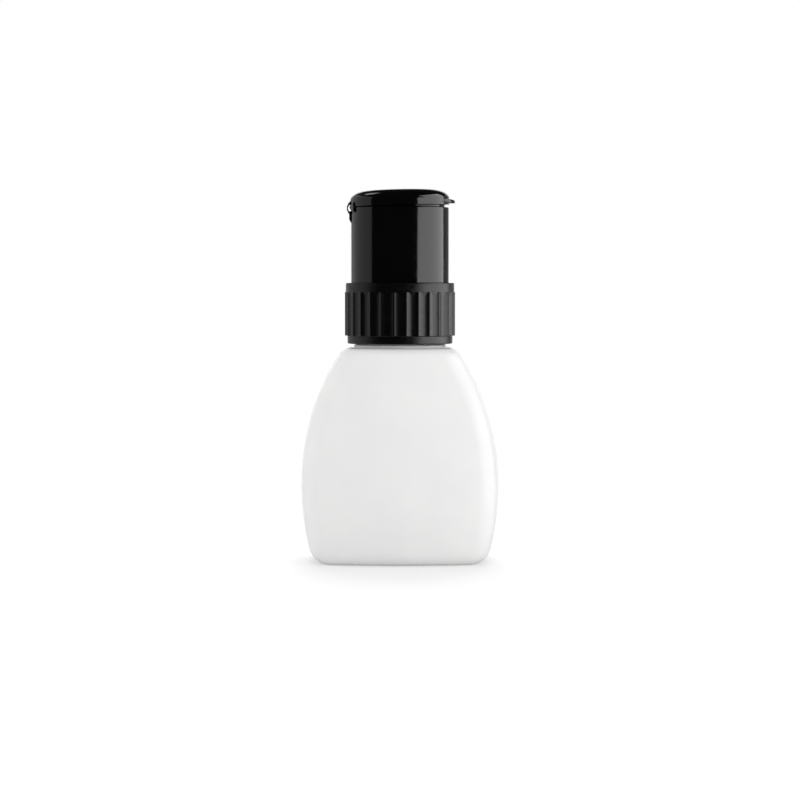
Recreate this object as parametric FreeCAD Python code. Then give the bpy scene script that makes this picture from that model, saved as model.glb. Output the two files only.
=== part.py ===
"""Push-down pump dispenser: square-shouldered bottle, screw collar, pump head and flip lid.

Units are millimetres.  +Z is up, the bottle front faces -Y and the lid opens towards +X.
The origin is the centre of the foot of the bottle.  Radii are named ..._R.
"""
import FreeCAD
import Part
import math
import os

V = FreeCAD.Vector
UP = V(0, 0, 1)
ORIGIN = V(0, 0, 0)

# Bottle outside
BODY_TOP = 75.6
BELLY_Z = 27.2
HALF_WIDTH = 35.0
HALF_DEPTH = 26.0
WIDTH_ARC_UP, WIDTH_ARC_DOWN = 87.0, 95.0
DEPTH_ARC_UP, DEPTH_ARC_DOWN = 215.0, 120.0
SIDE_BULGE_R, FRONT_BULGE_R = 110.0, 120.0
CORNER_R = 8.0
FOOT_FILLET, SHOULDER_FILLET = 4.8, 2.8
WALL = 1.1
FLOOR = 1.6
PUSH_UP = 1.2

# Neck and screw thread
NECK_R, NECK_BORE_R, NECK_TOP = 15.0, 13.7, 85.3
BEAD_R, BEAD_TOP = 16.3, 76.7
PITCH = 3.2
THREAD_TURNS = 1.5
THREAD_Z = 78.2
NECK_THREAD_R, COLLAR_THREAD_R = 16.2, 15.3

# Collar
COLLAR_BOTTOM, COLLAR_TOP = 77.1, 98.6
COLLAR_BORE_R, WELL_R = 16.6, 17.75
DECK_BOTTOM, DECK_TOP, DECK_HOLE_R = 87.5, 88.8, 7.6
SKIRT_R, CREST_R, BAND_R = 18.65, 19.6, 19.25
GRIP_BOTTOM, GRIP_TOP, RAMP = 79.8, 95.6, 1.5
FLUTE_COUNT, FLUTE_DEEP_R, FLUTE_R = 28, 19.0, 4.5
FLUTE_PHASE = -77.1

# Pump housing and inlet valve
BARREL_R, BARREL_BORE_R, BARREL_FLOOR = 7.2, 6.0, 60.0
FLANGE_R, FLANGE_BOTTOM = 14.9, 86.3
RIM_TOP = 90.5
INLET_SEAT_Z, INLET_BORE_R, INLET_CHAMBER_R = 55.6, 1.6, 3.2
INLET_BALL_R, OUTLET_BALL_R = 2.4, 2.0
TUBE_R, TUBE_BORE_R, TUBE_BOTTOM, TUBE_TOP = 2.4, 1.6, 4.0, 52.5
CAGE_TOP = 61.8
GUIDE_TOP, GUIDE_BOTTOM = 92.4, 84.0

# Plunger
STEM_R, STEM_BORE_R, STEM_HEAD_R = 3.1, 1.2, 3.8
STEM_BOTTOM, STEM_SHOULDER, STEM_TOP = 79.0, 101.0, 108.2
OUTLET_SEAT_Z, CUP_R = 102.6, 2.4
PISTON_BOTTOM, PISTON_TOP, PISTON_R = 77.6, 83.5, 5.97
WIRE_R, COIL_R, COILS = 0.4, 4.4, 7

# Pump head
SHELL_R, SHELL_BORE_R, SKIRT_Z, SHOULDER_Z = 17.45, 15.9, 96.9, 125.2
SPIGOT_R, SPIGOT_BORE_R, SPIGOT_TOP = 15.9, 14.4, 126.4
LEDGE_Z = 119.5
DISH_RIM_R, DISH_RIM_Z, DISH_LOW_Z, DISH_WALL = 13.4, 126.0, 122.4, 1.2
OUTLET_COUNT, OUTLET_R, OUTLET_RING_R = 5, 0.45, 1.25

# Lid and living hinge
HINGE_X, HINGE_Z = -17.9, 125.0
LID_R, LID_BORE_R, LID_RIM_Z = 17.65, 16.3, 125.35
LID_CURVE_Z, LID_CURVE_WIDE, LID_CURVE_HIGH, LID_RISE = 127.7, 6.8, 3.4, 0.25
LID_REST_TILT = 1.2
TAB_R, TAB_X, TAB_THICK, TAB_Z, TAB_DROOP = 11.8, 7.85, 1.5, 126.65, 8.0
FILM_HALF_WIDTH = 2.6
WEB_INNER_R, WEB_OUTER_R = 17.74, 18.1


def turned(points):
    """Solid of revolution about Z from a closed (radius, height) outline of straight lines."""
    outline = [V(r, 0, z) for r, z in points]
    face = Part.Face(Part.makePolygon(outline + outline[:1]))
    return face.revolve(ORIGIN, UP, 360)


def tube(outer, inner, bottom, top):
    ring = Part.makeCylinder(outer, top - bottom, V(0, 0, bottom))
    return ring.cut(Part.makeCylinder(inner, top - bottom, V(0, 0, bottom)))


def fused(shapes):
    return shapes[0].multiFuse(shapes[1:]).removeSplitter()


def thread(root, crest, start_z):
    """One helical ridge with a trapezoid section, root buried in the wall it stands on."""
    root_half, crest_half = 0.95, 0.4
    helix = Part.makeHelix(PITCH, PITCH * THREAD_TURNS, root)
    outline = [
        V(root, 0, -root_half),
        V(crest, 0, -crest_half),
        V(crest, 0, crest_half),
        V(root, 0, root_half),
    ]
    pipe = Part.BRepOffsetAPI.MakePipeShell(helix)
    pipe.setFrenetMode(True)
    pipe.add(Part.makePolygon(outline + outline[:1]))
    pipe.build()
    pipe.makeSolid()
    ridge = pipe.shape()
    ridge.translate(V(0, 0, start_z))
    return ridge


def half_size(z, half, arc_up, arc_down):
    arc = arc_up if z > BELLY_Z else arc_down
    return half - arc + math.sqrt(arc ** 2 - (z - BELLY_Z) ** 2)


def section(z, inset):
    """Closed outline of the body at one height: four bulged sides and four tangent corner arcs."""
    half_x = half_size(z, HALF_WIDTH, WIDTH_ARC_UP, WIDTH_ARC_DOWN) - inset
    half_y = half_size(z, HALF_DEPTH, DEPTH_ARC_UP, DEPTH_ARC_DOWN) - inset
    side, front, corner = SIDE_BULGE_R - inset, FRONT_BULGE_R - inset, CORNER_R - inset
    side_centre, front_centre = V(half_x - side, 0, z), V(0, half_y - front, z)
    between = front_centre - side_centre
    along = between.normalize()
    reach_side, reach_front = side - corner, front - corner
    span = (front_centre - side_centre).Length
    step = (reach_side ** 2 - reach_front ** 2 + span ** 2) / (2 * span)
    rise = math.sqrt(reach_side ** 2 - step ** 2)
    across = V(-along.y, along.x, 0)
    if (side_centre + along * step + across * rise).x < 0:
        across = across * -1
    centre = side_centre + along * step + across * rise
    on_side = side_centre + (centre - side_centre) * (side / reach_side)
    on_front = front_centre + (centre - front_centre) * (front / reach_front)
    bisector = (on_side - centre) + (on_front - centre)
    on_corner = centre + bisector.normalize() * corner
    edges = []
    for turn in (0, 1):
        sign = 1 - 2 * turn
        spots = [
            V(on_side.x, -on_side.y, z), V(half_x, 0, z), on_side, on_corner, on_front,
            V(0, half_y, z), V(-on_front.x, on_front.y, z), V(-on_corner.x, on_corner.y, z),
            V(-on_side.x, on_side.y, z),
        ]
        spots = [V(sign * spot.x, sign * spot.y, z) for spot in spots]
        for first in range(0, 8, 2):
            edges.append(Part.Arc(*spots[first:first + 3]).toShape())
    return Part.Wire(edges)


def block(bottom, top, inset, foot_fillet, shoulder_fillet):
    """Barrel-sided block with rounded upright corners, foot and shoulder."""
    levels = 9
    heights = [bottom + (top - bottom) * n / (levels - 1) for n in range(levels)]
    body = Part.makeLoft([section(z, inset) for z in heights], True, False)
    foot = [e for e in body.Edges if e.BoundBox.ZMax < bottom + 0.01]
    body = body.makeFillet(foot_fillet, foot)
    shoulder = [e for e in body.Edges if e.BoundBox.ZMin > top - 0.01]
    return body.makeFillet(shoulder_fillet, shoulder)


def rounded_bar(length, width, corner, bottom, top):
    bar = Part.makeBox(length, width, top - bottom, V(-length / 2, -width / 2, bottom))
    upright = [e for e in bar.Edges if e.BoundBox.ZLength > (top - bottom) / 2]
    return bar.makeFillet(corner, upright)


def bottle_body():
    outside = block(0, BODY_TOP, 0, FOOT_FILLET, SHOULDER_FILLET)
    inside = block(FLOOR, BODY_TOP - WALL, WALL, FOOT_FILLET - WALL, SHOULDER_FILLET - WALL)
    raised_floor = rounded_bar(41, 25, 7, 0, FLOOR + PUSH_UP)
    recess = rounded_bar(38, 22, 6, 0, PUSH_UP)
    neck = tube(NECK_R, NECK_BORE_R, BODY_TOP - 1, NECK_TOP)
    bead = turned([
        (NECK_BORE_R, BODY_TOP - 1), (BEAD_R, BODY_TOP - 1), (BEAD_R, BEAD_TOP - 0.3),
        (BEAD_R - 0.3, BEAD_TOP), (NECK_R, BEAD_TOP + 0.4), (NECK_BORE_R, BEAD_TOP + 0.4),
    ])
    mouth = Part.makeCylinder(NECK_BORE_R, 4, V(0, 0, BODY_TOP - 3))
    ridge = thread(NECK_R - 0.3, NECK_THREAD_R, THREAD_Z)
    shell = outside.cut(inside.cut(raised_floor)).cut(recess).cut(mouth)
    return shell.fuse(neck).fuse(bead).fuse(ridge).removeSplitter()


def screw_collar():
    """Cap with concave finger flutes that run out into the band above, a thread and a deck."""
    wall = turned([
        (COLLAR_BORE_R, COLLAR_BOTTOM), (SKIRT_R - 0.3, COLLAR_BOTTOM), (SKIRT_R, COLLAR_BOTTOM + 0.3),
        (SKIRT_R, GRIP_TOP - RAMP - 0.5), (FLUTE_DEEP_R - 0.02, GRIP_TOP - RAMP),
        (BAND_R, GRIP_TOP), (BAND_R, COLLAR_TOP - 0.4), (BAND_R - 0.4, COLLAR_TOP),
        (WELL_R + 0.2, COLLAR_TOP), (WELL_R, COLLAR_TOP - 0.2), (WELL_R, DECK_TOP),
        (DECK_HOLE_R, DECK_TOP), (DECK_HOLE_R, DECK_BOTTOM), (COLLAR_BORE_R, DECK_BOTTOM),
    ])
    grip = turned([
        (SKIRT_R - 0.6, GRIP_BOTTOM), (CREST_R - 0.2, GRIP_BOTTOM), (CREST_R, GRIP_BOTTOM + 0.3),
        (CREST_R, GRIP_TOP - 0.4), (BAND_R - 0.1, GRIP_TOP + 0.15), (SKIRT_R - 0.6, GRIP_TOP + 0.15),
    ])
    height = GRIP_TOP - GRIP_BOTTOM + 4
    flute = Part.makeCylinder(FLUTE_R, height, V(FLUTE_DEEP_R + FLUTE_R, 0, GRIP_BOTTOM - 2))
    for n in range(FLUTE_COUNT):
        grip = grip.cut(flute.rotated(ORIGIN, UP, FLUTE_PHASE + 360 * n / FLUTE_COUNT))
    ridge = thread(COLLAR_BORE_R + 0.3, COLLAR_THREAD_R, THREAD_Z + PITCH / 2)
    return wall.fuse(grip).removeSplitter().fuse(ridge)


def neck_gasket():
    return tube(FLANGE_R, BARREL_R + 0.05, NECK_TOP, FLANGE_BOTTOM)


def pump_housing():
    nozzle_r, socket_r = 3.6, TUBE_R + 0.02
    return turned([
        (BARREL_BORE_R, BARREL_FLOOR), (BARREL_BORE_R, RIM_TOP), (BARREL_R, RIM_TOP),
        (BARREL_R, DECK_BOTTOM), (FLANGE_R, DECK_BOTTOM), (FLANGE_R, FLANGE_BOTTOM),
        (BARREL_R, FLANGE_BOTTOM), (BARREL_R, 59), (4.6, 56), (4.6, 54), (nozzle_r, 53),
        (nozzle_r, 46.5), (socket_r, 46.5), (socket_r, TUBE_TOP + 0.1),
        (INLET_BORE_R, TUBE_TOP + 0.1), (INLET_BORE_R, INLET_SEAT_Z),
        (INLET_CHAMBER_R, INLET_SEAT_Z + 1.6), (INLET_CHAMBER_R, BARREL_FLOOR),
    ])


def stem_guide():
    plug_r, slot_r, cap_r = BARREL_BORE_R - 0.03, BARREL_R + 0.03, 8.7
    return turned([
        (STEM_R + 0.08, GUIDE_BOTTOM), (plug_r, GUIDE_BOTTOM), (plug_r, RIM_TOP + 0.05),
        (slot_r, RIM_TOP + 0.05), (slot_r, DECK_TOP + 0.1), (cap_r, DECK_TOP + 0.1),
        (cap_r, GUIDE_TOP - 0.8), (cap_r - 0.8, GUIDE_TOP), (STEM_R + 0.08, GUIDE_TOP),
    ])


def dip_tube():
    straight = tube(TUBE_R, TUBE_BORE_R, TUBE_BOTTOM, TUBE_TOP)
    notch = Part.makeBox(20, 20, 20, V(0, -10, 0))
    notch.rotate(ORIGIN, V(0, 1, 0), 35)
    notch.translate(V(-TUBE_R - 12.2, 0, TUBE_BOTTOM - 14.5))
    return straight.cut(notch)


def slotted_ring(outer, inner, bottom, top, bar_bottom):
    """Push-in ring with two crossed bars that hold a valve ball down."""
    ring = tube(outer, inner, bottom, top)
    bars = []
    for turn in (0, 90):
        bar = Part.makeBox(2 * inner + 0.6, 0.8, top - bar_bottom, V(-inner - 0.3, -0.4, bar_bottom))
        bars.append(bar.rotated(ORIGIN, UP, turn))
    return fused([ring] + bars)


def seated_ball(radius, seat_z, bore):
    """Ball resting on a 45 degree conical seat whose lower edge has radius bore at seat_z."""
    touch = radius * math.sqrt(0.5)
    centre = seat_z + (touch - bore) + touch + 0.01
    return Part.makeSphere(radius, V(0, 0, centre))


def stem():
    return turned([
        (STEM_BORE_R, STEM_BOTTOM), (STEM_R, STEM_BOTTOM), (STEM_R, STEM_SHOULDER - 0.7),
        (STEM_HEAD_R, STEM_SHOULDER), (STEM_HEAD_R, STEM_TOP - 0.3), (STEM_HEAD_R - 0.3, STEM_TOP),
        (CUP_R, STEM_TOP), (CUP_R, OUTLET_SEAT_Z + CUP_R - STEM_BORE_R), (STEM_BORE_R, OUTLET_SEAT_Z),
    ])


def piston():
    lip, waist, hub = PISTON_R, 5.2, 4.5
    return turned([
        (STEM_BORE_R, PISTON_BOTTOM), (5.3, PISTON_BOTTOM), (lip, PISTON_BOTTOM - 0.6),
        (lip, PISTON_BOTTOM + 0.3), (waist, PISTON_BOTTOM + 1.5), (waist, PISTON_TOP - 1.6),
        (lip, PISTON_TOP - 0.6), (lip, PISTON_TOP), (5.5, PISTON_TOP), (hub, PISTON_TOP - 2.2),
        (hub, PISTON_TOP), (STEM_R + 0.01, PISTON_TOP),
        (STEM_R + 0.01, STEM_BOTTOM), (STEM_BORE_R, STEM_BOTTOM),
    ])


def return_spring():
    length = PISTON_BOTTOM - CAGE_TOP
    pitch = length / COILS
    helix = Part.makeHelix(pitch, length, COIL_R)
    ring = Part.Wire(Part.Circle(V(COIL_R, 0, 0), V(0, 1, 0), WIRE_R).toShape())
    pipe = Part.BRepOffsetAPI.MakePipeShell(helix)
    pipe.setFrenetMode(True)
    pipe.add(ring)
    pipe.build()
    pipe.makeSolid()
    coil = pipe.shape()
    coil.translate(V(0, 0, CAGE_TOP))
    ground = Part.makeCylinder(COIL_R + 1, length - 0.02, V(0, 0, CAGE_TOP + 0.01))
    return coil.common(ground)


def head_shell():
    wall = turned([
        (SHELL_BORE_R, SKIRT_Z), (SHELL_R - 0.3, SKIRT_Z), (SHELL_R, SKIRT_Z + 0.3),
        (SHELL_R, SHOULDER_Z - 0.3), (SHELL_R - 0.3, SHOULDER_Z), (SPIGOT_R, SHOULDER_Z),
        (SPIGOT_R, SPIGOT_TOP - 0.4), (SPIGOT_R - 0.4, SPIGOT_TOP), (SPIGOT_BORE_R, SPIGOT_TOP),
        (SPIGOT_BORE_R, LEDGE_Z), (12.8, LEDGE_Z), (12.8, LEDGE_Z - 1.2),
        (SPIGOT_BORE_R, LEDGE_Z - 1.2), (SHELL_BORE_R, LEDGE_Z - 3.5),
    ])
    outline = [
        V(-17, 0, 119.6), V(-17.5, 0, 119.6), V(-17.95, 0, 120.6), V(-17.95, 0, 123.9), V(-17, 0, 124.1),
    ]
    land = Part.Face(Part.makePolygon(outline + outline[:1])).extrude(V(0, 2 * FILM_HALF_WIDTH, 0))
    land.translate(V(0, -FILM_HALF_WIDTH, 0))
    return fused([wall, land])


def dispensing_dish():
    skirt_r, socket_r, socket_bore, lift_r = SPIGOT_BORE_R - 0.03, 5.2, STEM_HEAD_R + 0.04, 2.0
    sag = DISH_RIM_Z - DISH_LOW_Z
    ball_r = (DISH_RIM_R ** 2 + sag ** 2) / (2 * sag)
    centre = V(0, 0, DISH_LOW_Z + ball_r)
    puck = Part.makeCylinder(skirt_r, DISH_RIM_Z - LEDGE_Z, V(0, 0, LEDGE_Z))
    under = Part.makeSphere(ball_r + DISH_WALL, centre)
    room = Part.makeCylinder(skirt_r - 1.2, DISH_RIM_Z - LEDGE_Z, V(0, 0, LEDGE_Z - 0.1)).cut(under)
    socket = tube(socket_r, socket_bore, STEM_SHOULDER + 0.3, DISH_LOW_Z - 0.4)
    neck = tube(socket_bore + 0.1, lift_r, STEM_TOP + 0.1, DISH_LOW_Z - DISH_WALL + 0.1)
    dish = fused([puck.cut(room), socket.cut(Part.makeSphere(ball_r, centre)), neck])
    dish = dish.cut(Part.makeSphere(ball_r, centre))
    for n in range(OUTLET_COUNT):
        turn = math.radians(360 * n / OUTLET_COUNT)
        spot = V(OUTLET_RING_R * math.cos(turn), OUTLET_RING_R * math.sin(turn), DISH_LOW_Z - 3)
        dish = dish.cut(Part.makeCylinder(OUTLET_R, 5, spot))
    return dish


def domed_cap(radius, rim_z, curve_z, wide, high, rise):
    """Solid cap: upright side, elliptical shoulder, slightly domed top."""
    inner = radius - wide
    corner, crown_edge = V(radius, 0, curve_z), V(inner, 0, curve_z + high)
    crown = V(0, 0, curve_z + high + rise)
    shoulder = Part.ArcOfEllipse(Part.Ellipse(corner, crown_edge, V(inner, 0, curve_z)), 0, math.pi / 2)
    sphere_r = (inner ** 2 + rise ** 2) / (2 * rise)
    half_x = inner / 2
    mid = V(half_x, 0, crown.z - sphere_r + math.sqrt(sphere_r ** 2 - half_x ** 2))
    edges = [
        Part.LineSegment(V(0, 0, rim_z), V(radius, 0, rim_z)).toShape(),
        Part.LineSegment(V(radius, 0, rim_z), corner).toShape(),
        shoulder.toShape(),
        Part.Arc(crown_edge, mid, crown).toShape(),
        Part.LineSegment(crown, V(0, 0, rim_z)).toShape(),
    ]
    return Part.Face(Part.Wire(edges)).revolve(ORIGIN, UP, 360)


def flip_lid():
    outside = domed_cap(LID_R, LID_RIM_Z, LID_CURVE_Z, LID_CURVE_WIDE, LID_CURVE_HIGH, LID_RISE)
    inside = domed_cap(LID_BORE_R, LID_RIM_Z - 1, LID_CURVE_Z - 0.3, LID_CURVE_WIDE - 0.9,
                       LID_CURVE_HIGH - 0.9, LID_RISE)
    wiper = tube(13.1, 12.3, DISH_RIM_Z + 0.3, LID_CURVE_Z + 2.4)
    tab = Part.makeCylinder(TAB_R, TAB_THICK, V(TAB_X, 0, TAB_Z - TAB_THICK / 2))
    tab = tab.makeFillet(0.5, [e for e in tab.Edges if e.BoundBox.ZLength < 0.1])
    tab.rotate(V(LID_R, 0, TAB_Z), V(0, 1, 0), TAB_DROOP)
    tab = tab.cut(Part.makeCylinder(LID_R - 0.3, 20, V(0, 0, 115)))
    pad = Part.makeBox(0.9, 2 * FILM_HALF_WIDTH, 1.5, V(-17.95, -FILM_HALF_WIDTH, 125.9))
    pad = pad.cut(Part.makeCylinder(LID_R - 0.3, 20, V(0, 0, 115)))
    lid = fused([outside.cut(inside), wiper, tab, pad])
    return lid.rotated(V(HINGE_X, 0, HINGE_Z), V(0, -1, 0), LID_REST_TILT)


def hinge_film():
    """Thin bowed strip from the land on the head to the pad on the lid."""
    outer = [
        (-17.97, 122.9), (-18.35, 123.8), (-18.8, 124.5), (-18.85, 125.2), (-18.5, 126.0), (-18.03, 126.9),
    ]
    inner = [(-18.03, 126.1), (-18.35, 125.4), (-18.35, 124.7), (-17.97, 123.7)]
    outline = [V(x, -FILM_HALF_WIDTH, z) for x, z in outer + inner]
    return Part.Face(Part.makePolygon(outline + outline[:1])).extrude(V(0, 2 * FILM_HALF_WIDTH, 0))


def hinge_webs():
    """Two triangular panels, narrow at the hinge and wide at the far edge, wrapped on the wall."""
    skin = tube(WEB_OUTER_R, WEB_INNER_R, 120, 130)
    panels = []
    for side in (-1, 1):
        outline = [
            V(-20, side * 3.0, HINGE_Z - 0.1), V(-20, side * 7.7, HINGE_Z - 1.9),
            V(-20, side * 7.7, HINGE_Z + 2.2), V(-20, side * 3.0, HINGE_Z + 0.4),
        ]
        wedge = Part.Face(Part.makePolygon(outline + outline[:1])).extrude(V(10, 0, 0))
        panels.append(skin.common(wedge))
    return Part.makeCompound([solid for panel in panels for solid in panel.Solids])


PARTS = {
    "bottle_body": bottle_body,
    "screw_collar": screw_collar,
    "neck_gasket": neck_gasket,
    "pump_housing": pump_housing,
    "stem_guide": stem_guide,
    "dip_tube": dip_tube,
    "ball_cage": lambda: slotted_ring(5.96, 2.9, BARREL_FLOOR, CAGE_TOP, BARREL_FLOOR + 0.8),
    "inlet_ball": lambda: seated_ball(INLET_BALL_R, INLET_SEAT_Z, INLET_BORE_R),
    "stem": stem,
    "piston": piston,
    "return_spring": return_spring,
    "outlet_ball": lambda: seated_ball(OUTLET_BALL_R, OUTLET_SEAT_Z, STEM_BORE_R),
    "ball_retainer": lambda: slotted_ring(CUP_R - 0.03, 1.6, STEM_TOP - 1.2, STEM_TOP, STEM_TOP - 1.2),
    "head_shell": head_shell,
    "dispensing_dish": dispensing_dish,
    "flip_lid": flip_lid,
    "hinge_film": hinge_film,
    "hinge_webs": hinge_webs,
}

os.makedirs("parts", exist_ok=True)
for name, build in PARTS.items():
    shape = build()
    shape.exportStep("parts/" + name + ".step")
    print(name, len(shape.Solids), shape.isValid(), round(shape.Volume, 1))
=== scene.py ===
"""Looks of a push-down pump dispenser bottle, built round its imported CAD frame.

Sizes are in millimetres in the shape functions and turned to metres in one place, new_mesh().
The bottle front faces -Y, the lid's hinge is at -X and its thumb tab at +X.
"""

import math

import bmesh
import bpy
import numpy as np
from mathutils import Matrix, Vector


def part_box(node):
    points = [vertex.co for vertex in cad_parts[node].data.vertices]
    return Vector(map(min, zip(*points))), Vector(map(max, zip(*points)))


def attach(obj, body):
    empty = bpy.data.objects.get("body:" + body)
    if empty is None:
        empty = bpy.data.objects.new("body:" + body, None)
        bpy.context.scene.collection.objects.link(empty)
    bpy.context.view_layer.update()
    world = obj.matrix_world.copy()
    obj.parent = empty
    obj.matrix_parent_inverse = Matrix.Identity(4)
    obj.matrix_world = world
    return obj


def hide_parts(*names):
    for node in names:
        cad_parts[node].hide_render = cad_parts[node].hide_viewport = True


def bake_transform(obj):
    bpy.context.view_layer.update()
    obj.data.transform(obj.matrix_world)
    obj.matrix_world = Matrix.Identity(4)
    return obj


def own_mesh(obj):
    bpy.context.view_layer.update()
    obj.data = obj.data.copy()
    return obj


MM = 0.001
TAU = 2 * math.pi

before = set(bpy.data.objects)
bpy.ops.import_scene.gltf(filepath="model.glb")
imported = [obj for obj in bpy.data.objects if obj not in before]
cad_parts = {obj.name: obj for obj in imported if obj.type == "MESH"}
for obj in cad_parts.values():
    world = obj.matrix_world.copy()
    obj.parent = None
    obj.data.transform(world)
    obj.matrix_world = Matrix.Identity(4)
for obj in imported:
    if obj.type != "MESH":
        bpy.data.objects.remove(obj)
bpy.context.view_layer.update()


def node_top(node):
    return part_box(node)[1].z / MM


def node_bottom(node):
    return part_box(node)[0].z / MM


# ---------------------------------------------------------------- sizes, in mm

# Bottle body: two arcs meet at the belly in each elevation
BELLY_Z = 27.2
HALF_WIDTH, HALF_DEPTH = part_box("bottle_body")[1].x / MM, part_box("bottle_body")[1].y / MM
BODY_TOP = 75.6
WIDTH_ARCS, DEPTH_ARCS = (87.0, 95.0), (215.0, 120.0)
SIDE_BULGE_R, FRONT_BULGE_R, CORNER_R, LEAST_CORNER_R = 110.0, 120.0, 8.0, 1.5
FOOT_FILLET, SHOULDER_FILLET = 4.8, 2.8
WALL, FLOOR, PUSH_UP = 1.1, 1.6, 1.2
RECESS_X, RECESS_Y, RECESS_CROWN = 19.0, 11.0, 0.25
PAD_X, PAD_Y, PAD_STEP = 20.4, 12.4, 0.2
SEAM_HEIGHT = 0.07

# Neck and screw thread
NECK_R, NECK_BORE_R = 15.0, 13.7
NECK_TOP = node_top("bottle_body")
BEAD_R, BEAD_TOP = 16.3, 76.7
BEAD_ROOT, BEAD_EDGE, NECK_ROOT = 0.4, 0.25, 0.2
LIP_EDGE, LIP_BORE_EDGE, THROAT_EDGE = 0.4, 0.3, 0.6
PITCH, THREAD_TURNS, THREAD_Z = 3.2, 1.5, 78.2
NECK_THREAD_R, COLLAR_THREAD_R = 16.2, 15.3
RIDGE_FLAT, RIDGE_FOOT = 0.35, 0.85  # from the middle of the ridge
THREAD_FADE = 0.06  # turns over which each end of the ridge runs out

# Collar
COLLAR_BOTTOM, COLLAR_TOP = node_bottom("screw_collar"), node_top("screw_collar")
COLLAR_BORE_R, WELL_R = 16.6, 17.75
DECK_BOTTOM, DECK_TOP, DECK_HOLE_R = 87.5, 88.8, 7.6
SKIRT_R, CREST_R, BAND_R = 18.65, 19.6, 19.25
GRIP_BOTTOM, GRIP_TOP, RAMP = 79.8, 95.6, 1.5
FLUTE_COUNT, FLUTE_DEEP_R, FLUTE_R = 28, 19.0, 4.5
FLUTE_PHASE = math.radians(-77.1)
COLLAR_EDGE, WELL_EDGE, HOLE_EDGE, DECK_ROOT = 0.4, 0.25, 0.2, 0.3
CREST_SOFTNESS, FLUTE_END_SOFTNESS = 0.06, 0.05

# Head
SHELL_R, SHELL_BORE_R = 17.45, 15.9
SKIRT_Z, SHOULDER_Z = node_bottom("head_shell"), 125.2
SPIGOT_R, SPIGOT_BORE_R, SPIGOT_TOP = 15.9, 14.4, node_top("head_shell")
LEDGE_R, LEDGE_Z, LEDGE_THICK, LEDGE_TAPER = 12.8, 119.5, 1.2, 3.5
HEAD_EDGE = 0.3
LAND_X, LAND_ROOT_X, LAND_BOTTOM, LAND_TOP, LAND_EDGE = 17.95, 16.9, 119.6, 124.1, 0.18

# Lid and living hinge
HINGE_X, HINGE_Z = -17.9, 125.0
LID_R, LID_BORE_R, LID_RIM_Z = 17.65, 16.3, 125.35
LID_CURVE_Z, LID_CURVE_WIDE, LID_CURVE_HIGH, LID_RISE = 127.7, 6.8, 3.4, 0.25
LID_REST_TILT = math.radians(1.2)
TAB_R, TAB_X, TAB_THICK, TAB_Z = 11.8, 7.85, 1.5, 126.65
TAB_DROOP = math.tan(math.radians(8))
LID_EDGE, LID_THICK = 0.2, 0.9
WIPER_BORE_R, WIPER_R, WIPER_BOTTOM, WIPER_TOP, WIPER_EDGE = 12.3, 13.1, 126.3, 130.1, 0.3
PAD_OUTLINE, PAD_EDGE = [(-17.0, 125.9), (-17.9, 125.95), (-17.9, 127.25), (-17.0, 127.6)], 0.15
FILM_HALF_WIDTH = 2.6
FILM_LOW, FILM_HIGH, FILM_BOW = (-18.0, 122.9), (-18.05, 126.9), 0.58
FILM_HALF_THICK, FILM_THINNING, FILM_THIN_REACH = 0.26, 0.1, 0.35
WEB_R, WEB_NEAR, WEB_FAR = 17.92, 3.0, 7.7
WEB_BELOW, WEB_ABOVE, WEB_SPREAD = 0.1, 0.4, 1.8
WEB_HALF_THICK, WEB_THINNING, WEB_THIN_REACH = 0.2, 0.08, 0.3

# Return spring
SPRING_FOOT, SPRING_TOP = node_bottom("return_spring"), node_top("return_spring")
WIRE_R, COIL_R, ACTIVE_COILS, CLOSED_COILS = 0.4, 4.4, 5.5, 1.1


# ---------------------------------------------------------------- mesh helpers

def new_mesh(name, vertices, faces, smooth=True):
    """Object from points in mm and index faces; normals are made to face out."""
    mesh = bpy.data.meshes.new(name)
    mesh.from_pydata([Vector(v) * MM for v in vertices], [], faces)
    shaped = bmesh.new()
    shaped.from_mesh(mesh)
    bmesh.ops.recalc_face_normals(shaped, faces=shaped.faces)
    shaped.to_mesh(mesh)
    shaped.free()
    mesh.polygons.foreach_set("use_smooth", [smooth] * len(mesh.polygons))
    obj = bpy.data.objects.new(name, mesh)
    bpy.context.scene.collection.objects.link(obj)
    return obj


def skin(name, rings, poles=None):
    """Closed surface over rings of equal point count.

    With poles, the first and last ring are closed onto those two points. Without, the last ring
    joins the first, as on a pipe bent round into a ring.
    """
    rings = np.array(rings, float)
    ring_count, around = rings.shape[:2]
    vertices = rings.reshape(-1, 3).tolist()
    column = np.arange(around)
    following = (column + 1) % around
    last = ring_count - 1 if poles else ring_count
    faces = []
    for r in range(last):
        low, high = r * around, ((r + 1) % ring_count) * around
        quads = np.stack([low + column, low + following, high + following, high + column], 1)
        faces += quads.tolist()
    if poles:
        for pole, ring in zip(poles, (0, ring_count - 1)):
            tip = len(vertices)
            vertices.append(list(pole))
            faces += [[ring * around + a, ring * around + b, tip] for a, b in zip(column, following)]
    return new_mesh(name, vertices, faces)


def arc(centre, radius, start, end, steps):
    """Points (r, z) on a circular arc; angles in degrees, 0 along +r and 90 along +z."""
    angles = np.radians(np.linspace(start, end, steps + 1))
    return [(centre[0] + radius * math.cos(a), centre[1] + radius * math.sin(a)) for a in angles]


def run(start, end, steps):
    """Points evenly spaced from start to end, without the two ends."""
    start, end = np.array(start, float), np.array(end, float)
    return [tuple(start + (end - start) * n / steps) for n in range(1, steps)]


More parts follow.
